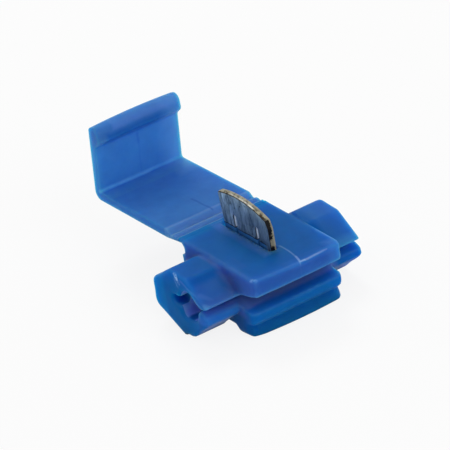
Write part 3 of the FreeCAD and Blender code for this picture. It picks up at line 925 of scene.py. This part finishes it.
def plain_object(name, data):
    """Object at the origin that shows a mesh, a lamp or a camera."""
    made = bpy.data.objects.new(name, data)
    bpy.context.scene.collection.objects.link(made)
    return made


def combine(thing, name, tool, operation):
    """Boolean modifier that joins a tool to a thing or cuts it away."""
    made = thing.modifiers.new(name, "BOOLEAN")
    made.operation = operation
    made.solver = "EXACT"
    made.object = tool


def baked_mesh(thing, name):
    """Mesh of an object with its modifiers carried out; the object itself is removed."""
    bpy.context.view_layer.update()
    evaluated = thing.evaluated_get(bpy.context.evaluated_depsgraph_get())
    mesh = bpy.data.meshes.new_from_object(evaluated)
    mesh.name = name
    bpy.data.objects.remove(thing)
    return mesh


def merged_copy(node, name):
    """Copy of a construction node's mesh with its loose triangles joined into one closed skin."""
    made = bmesh.new()
    made.from_mesh(frame["nodes"][node].data)
    bmesh.ops.remove_doubles(made, verts=made.verts, dist=1e-7)
    mesh = bpy.data.meshes.new(name)
    made.to_mesh(mesh)
    made.free()
    return mesh


def box_object(name, low, high):
    """Plain box between two corners, used only as a tool that cuts or adds."""
    x, y, z = zip(low, high)
    corners = [(x[i], y[j], z[k]) for i in (0, 1) for j in (0, 1) for k in (0, 1)]
    faces = [(0, 1, 3, 2), (4, 6, 7, 5), (0, 4, 5, 1), (2, 3, 7, 6), (0, 2, 6, 4), (1, 5, 7, 3)]
    mesh = bpy.data.meshes.new(name)
    mesh.from_pydata(corners, [], faces)
    return plain_object(name, mesh)


def block_skin(settings, lid_settings):
    """Softened and settled copy of the block, without the hinge root that the lid's strap brings.

    A wall closes the contact's pocket towards the hinge, and the pocket is cut again with room for the
    blade, whose left flank is wider here.
    """
    top = HOUSING_HIGH.z
    block_side = HINGE.x + lid_settings.groove_x
    margin = Vector((MM, MM, MM))
    room = Vector((0.14 * MM, 0.16 * MM, 0.1 * MM))
    flank_and_travel = Vector((0.21 * MM, 0.0, 5.2 * MM))
    wall_inset, wall_half, wall_low, wall_high = 0.2 * MM, 1.4 * MM, 2.4 * MM, 0.1 * MM
    steps = (
        (
            "hinge_root",
            "DIFFERENCE",
            HOUSING_LOW - margin,
            Vector((block_side, HOUSING_HIGH.y + MM, top + MM)),
        ),
        (
            "wall_behind_contact",
            "UNION",
            Vector((block_side + wall_inset, -wall_half, top - wall_low)),
            Vector((CONTACT_LOW.x + MM, wall_half, top - wall_high)),
        ),
        (
            "contact_pocket",
            "DIFFERENCE",
            CONTACT_LOW - room - flank_and_travel,
            Vector((CONTACT_HIGH.x, CONTACT_HIGH.y, top + MM)) + room,
        ),
    )
    rough = plain_object("block_rough", merged_copy("housing", "block_rough"))
    tools = [box_object(name, low, high) for name, _, low, high in steps]
    for tool, (name, operation, _, _) in zip(tools, steps):
        combine(rough, name, tool, operation)
    remesh = rough.modifiers.new("even_skin", "REMESH")
    remesh.mode = "VOXEL"
    remesh.voxel_size = settings.edge_grid
    mesh = baked_mesh(rough, "block_skin")
    for tool in tools:
        bpy.data.objects.remove(tool)
    softened(mesh, settings.edge_passes, settings.crease_passes)
    settled(mesh)
    return plain_object("block_skin", mesh)


def lid_skin(lid):
    """Hinge strap, lid plate, end wall and latch bead as one profile carried along the hinge."""
    overhang, wall_thickness = 0.7, 1.3
    bead_height, bead_reach = 3.0, 1.2
    strap_length, bend_width = 2.35, 0.6
    outline_step = 0.12
    groove = lid.groove_x / MM
    web = lid.web / MM
    top = lid.rise / MM
    bottom = top - lid.thickness / MM
    lean = math.tan(lid.wall_lean)
    block_side = HINGE.x / MM + groove
    block_top = HOUSING_HIGH.z / MM
    block_length = (HOUSING_HIGH.x - HINGE.x) / MM - groove
    foot = -2 * groove - block_length - overhang
    wall_top = top + lid.wall_height / MM
    across = wall_thickness / math.cos(lid.wall_lean)
    bead_low = wall_top - bead_height
    bead_x = foot + lean * (bead_low - top)
    corners = np.array([
        (0.2, -0.5, 0.0, 0.2),
        (0.48, -0.1, 0.0, 0.0),
        (0.42, 0.012, 0.05, 0.0),
        (-0.35, 0.012, 0.2, 0.0),
        (-groove, -0.24, 0.25, 0.2),
        (-groove - 0.38, -0.06, 0.3, 0.3),
        (-groove - 0.85, -0.06, 0.3, 0.3),
        (-groove - 1.57, -0.36, 0.3, 0.5),
        (-groove - strap_length, top, 0.3, 1.0),
        (foot, top, 0.3, 1.0),
        (bead_x, bead_low - 0.1, 1.0, 1.0),
        (bead_x + bead_reach, bead_low + 0.8, 0.7, 1.0),
        (bead_x + bead_reach, wall_top + 0.25, 0.95, 1.0),
        (foot - across + lean * (wall_top - top), wall_top - 0.5, 0.5, 1.0),
        (foot - across + lean * (bottom - top), bottom, 1.1, 1.0),
        (-groove - strap_length, bottom, 0.3, 0.5),
        (-groove, -0.36 - web, 0.3, 0.2),
    ])
    corners[:, 0] += block_side
    corners[:, 1] += block_top
    half = (LID_HIGH.y - LID_LOW.y) / 2 / MM
    places, insets = rounded_stations(half, lid.edge_round / MM)
    outlines = inset_outlines(corners, insets, outline_step)
    hinge_x, hinge_z = HINGE.x / MM, HINGE.z / MM
    crown_start = block_top + bead_low

    def drooped(grid):
        """Latch bead raised by crown * (1 - (y / half)^2), then all turned down about the hinge."""
        x, y, z = grid[:, :, 0], grid[:, :, 1], grid[:, :, 2]
        share = np.clip((z - crown_start) / bead_height, 0.0, 1.0) * (1 - (y / half) ** 2)
        z = z + lid.latch_crown / MM * share
        angle = -lid.droop * np.clip((hinge_x + bend_width / 2 - x) / bend_width, 0.0, 1.0)
        dx, dz = x - hinge_x, z - hinge_z
        turned_x = hinge_x + dx * np.cos(angle) + dz * np.sin(angle)
        turned_z = hinge_z - dx * np.sin(angle) + dz * np.cos(angle)
        return np.stack([turned_x, y, turned_z], axis=2)

    return plain_object("lid_skin", carried("lid_skin", outlines, places, drooped))


def blade_corners(low, high):
    """Corners (x, z, radius, share) of the blade, from its left foot along the slots and over the arch."""
    slot_places = (-4.8, 0.0)
    half_slot, slot_top, entry = 0.28, 6.09, 0.5
    left_z, right_z = high.z - 0.506, high.z - 1.146
    left_x, right_x = low.x - 0.2, high.x - 0.4
    crown = ((low.x + high.x) / 2 - 0.75, high.z - 0.006)
    corner_drop = 1.0
    arch = arc_through((right_x, right_z), crown, (left_x, left_z), 40)
    taper = math.tan(math.radians(6.4)) * (left_z - low.z)
    comb = []
    for x in slot_places:
        comb += [
            (x - half_slot - entry, low.z, 0.0, 0.3),
            (x - half_slot, low.z + entry, 0.0, 0.15),
            (x - half_slot, slot_top, 0.2, 0.15),
            (x + half_slot, slot_top, 0.2, 0.15),
            (x + half_slot, low.z + entry, 0.0, 0.15),
            (x + half_slot + entry, low.z, 0.0, 0.3),
        ]
    rolls = np.append(np.linspace(0.3, 1.0, len(arch) - 1), 0.5)
    rounds = np.append(np.zeros(len(arch) - 1), 0.3)
    return np.array([
        (left_x + taper, low.z, 0.0, 0.0),
        *comb,
        (high.x, low.z, 0.0, 0.3),
        (high.x, right_z - corner_drop, 0.1, 0.2),
        *np.column_stack([arch, rounds, rolls]),
    ])


def blade_stations(half):
    """Places through the blade's thickness and insets that roll its front edge widely and its back finely.

    The front roll's place is radius * (1 - cosine) behind the face and its inset radius * (1 - sine); the
    back roll's place is radius * (1 - sine) before the face and its inset radius * (1 - cosine).
    """
    front_roll, back_roll, between_rolls = 0.22, 0.03, 0.1
    front = np.linspace(0.0, math.pi / 2, 6)
    back = np.linspace(0.0, math.pi / 2, 4)
    front_y = -half + front_roll * (1 - np.cos(front))
    back_y = half - back_roll + back_roll * np.sin(back)
    places = np.concatenate([front_y, [between_rolls], back_y])
    insets = np.concatenate([front_roll * (1 - np.sin(front)), [0.0], back_roll * (1 - np.cos(back))])
    return places, insets


class SPLICE_OT_moulding(bpy.types.Operator):
    """Block, hinge strap and lid joined into the one piece that the mould makes"""

    bl_idname = "splice.moulding"
    bl_label = "Make moulding"

    def execute(self, context):
        settings = context.scene.splice_moulding
        lid = context.scene.splice_lid
        block = block_skin(settings, lid)
        strap = lid_skin(lid)
        combine(block, "hinge_joint", strap, "UNION")
        mesh = baked_mesh(block, "splice_moulding")
        bpy.data.objects.remove(strap)
        outward_edges(mesh)
        mesh.shade_smooth()
        piece = add_object("splice_moulding", mesh, moulding_material(settings))
        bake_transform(piece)
        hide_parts("housing", "lid")
        return {"FINISHED"}


class SPLICE_OT_contact(bpy.types.Operator):
    """Stamped blade with an arched top, a cut corner and two open wire slots"""

    bl_idname = "splice.contact"
    bl_label = "Make contact"

    def execute(self, context):
        low, high = CONTACT_LOW / MM, CONTACT_HIGH / MM
        outline_step = 0.15
        places, insets = blade_stations((high.y - low.y) / 2)
        outlines = inset_outlines(blade_corners(low, high), insets, outline_step)
        mesh = carried("contact_blade", outlines, places)
        cut = mesh.attributes.new("cut_edge", "FLOAT", "FACE")
        normals = np.empty(len(mesh.polygons) * 3)
        mesh.polygons.foreach_get("normal", normals)
        cut.data.foreach_set("value", 1 - np.abs(normals[1::3]))
        blade = add_object("contact_blade", mesh, contact_material(context.scene.splice_contact))
        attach(blade, "contact")
        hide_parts("contact")
        return {"FINISHED"}


LAMPS = (
    # name, azimuth and elevation in degrees, distance and size in metres, setting that holds the power
    ("back_lamp", -115.5, 50.0, 0.55, 0.22, "back_power"),
    ("front_lamp", 95.0, 32.0, 0.6, 0.4, "front_power"),
)


class SPLICE_OT_stage(bpy.types.Operator):
    """Pale floor, even sky, two soft lamps and the camera"""

    bl_idname = "splice.stage"
    bl_label = "Make stage"

    def execute(self, context):
        scene = context.scene
        settings = scene.splice_stage
        scene.view_settings.view_transform = "Standard"
        make_floor(settings)
        make_sky(scene, settings)
        for name, azimuth, elevation, distance, size, power in LAMPS:
            make_lamp(name, azimuth, elevation, distance, size, getattr(settings, power), settings.aim)
        make_camera(scene, settings)
        return {"FINISHED"}


def direction(azimuth, elevation):
    """Unit vector towards an azimuth, counted from -Y towards +X, and an elevation."""
    return Vector((
        math.sin(azimuth) * math.cos(elevation),
        -math.cos(azimuth) * math.cos(elevation),
        math.sin(elevation),
    ))


def make_floor(settings):
    """Wide pale floor at the foot of the block: white to the camera, with the object's soft shadow."""
    half, glow_share = 2.0, 0.86
    z = CAD_LOW.z - BOTTOM_SINK * MM
    corners = [(-half, -half, z), (half, -half, z), (half, half, z), (-half, half, z)]
    mesh = bpy.data.meshes.new("floor")
    mesh.from_pydata(corners, [], [(0, 1, 2, 3)])
    material, tree, output = empty_material("pale_floor")
    diffuse = add_node(tree, "ShaderNodeBsdfDiffuse", {"Color": (*settings.floor_colour, 1.0)})
    glow = add_node(tree, "ShaderNodeEmission", {"Color": (1.0, 1.0, 1.0, 1.0), "Strength": 1.0})
    rays = add_node(tree, "ShaderNodeLightPath").outputs
    seen = maths(tree, "MAXIMUM", rays["Is Camera Ray"], rays["Is Glossy Ray"])
    seen = maths(tree, "MAXIMUM", seen, rays["Is Transmission Ray"])
    mix = add_node(tree, "ShaderNodeMixShader", {
        0: product(tree, seen, glow_share),
        1: diffuse.outputs["BSDF"],
        2: glow.outputs["Emission"],
    })
    tree.links.new(mix.outputs["Shader"], output.inputs["Surface"])
    add_object("floor", mesh, material)


def make_sky(scene, settings):
    """Even pale sky."""
    world = bpy.data.worlds.new("pale_sky")
    world.use_nodes = True
    tree = world.node_tree
    tree.nodes.clear()
    background = add_node(tree, "ShaderNodeBackground", {
        "Color": (1.0, 1.0, 1.0, 1.0),
        "Strength": settings.world_strength,
    })
    output = tree.nodes.new("ShaderNodeOutputWorld")
    tree.links.new(background.outputs["Background"], output.inputs["Surface"])
    scene.world = world


def aimed_object(name, data, aim, back, distance):
    """Lamp or camera that looks at a point from a distance along the direction back."""
    made = plain_object(name, data)
    made.location = Vector(aim) + back * distance
    made.rotation_mode = "QUATERNION"
    made.rotation_quaternion = (-back).to_track_quat("-Z", "Y")
    return made


def make_lamp(name, azimuth, elevation, distance, size, power, aim):
    """Square soft lamp that looks at a point from a direction given in degrees."""
    data = bpy.data.lights.new(name, "AREA")
    data.shape = "SQUARE"
    data.size = size
    data.energy = power
    back = direction(math.radians(azimuth), math.radians(elevation))
    aimed_object(name, data, aim, back, distance)


def make_camera(scene, settings):
    """Long-lens camera at the view's angle, turned about its line of sight by the roll."""
    data = bpy.data.cameras.new("camera")
    data.sensor_width = 36.0
    data.lens = settings.lens
    data.clip_start = settings.distance * 0.1
    data.clip_end = settings.distance * 20
    back = direction(settings.azimuth, settings.elevation)
    camera = aimed_object("camera", data, settings.aim, back, settings.distance)
    upright = (-back).to_track_quat("-Z", "Y")
    camera.rotation_quaternion = upright @ Quaternion((0.0, 0.0, 1.0), settings.roll)
    scene.camera = camera


class SPLICE_PT_panel(bpy.types.Panel):
    """Lists the settings and the steps"""

    bl_idname = "SPLICE_PT_panel"
    bl_label = "Tap splice connector"
    bl_space_type = "VIEW_3D"
    bl_region_type = "UI"
    bl_category = "Splice"

    def draw(self, context):
        for step in STEPS:
            self.layout.operator(step.bl_idname)
        for name in SETTINGS:
            group = getattr(context.scene, name)
            box = self.layout.box()
            for key in group.__annotations__:
                box.prop(group, key)


SETTINGS = {
    "splice_moulding": MouldingSettings,
    "splice_lid": LidSettings,
    "splice_contact": ContactSettings,
    "splice_stage": StageSettings,
}
STEPS = (SPLICE_OT_stage, SPLICE_OT_moulding, SPLICE_OT_contact)


def register():
    """Adds the classes and hangs each group of settings on the scene."""
    for kind in (*SETTINGS.values(), *STEPS, SPLICE_PT_panel):
        bpy.utils.register_class(kind)
    for name, kind in SETTINGS.items():
        setattr(bpy.types.Scene, name, PointerProperty(type=kind))


def unregister():
    """Takes away what register added."""
    for name in SETTINGS:
        delattr(bpy.types.Scene, name)
    for kind in (SPLICE_PT_panel, *reversed(STEPS), *reversed(tuple(SETTINGS.values()))):
        bpy.utils.unregister_class(kind)


def main():
    """Builds everything."""
    register()
    bpy.ops.splice.stage()
    bpy.ops.splice.moulding()
    bpy.ops.splice.contact()


if __name__ == "__main__":
    main()
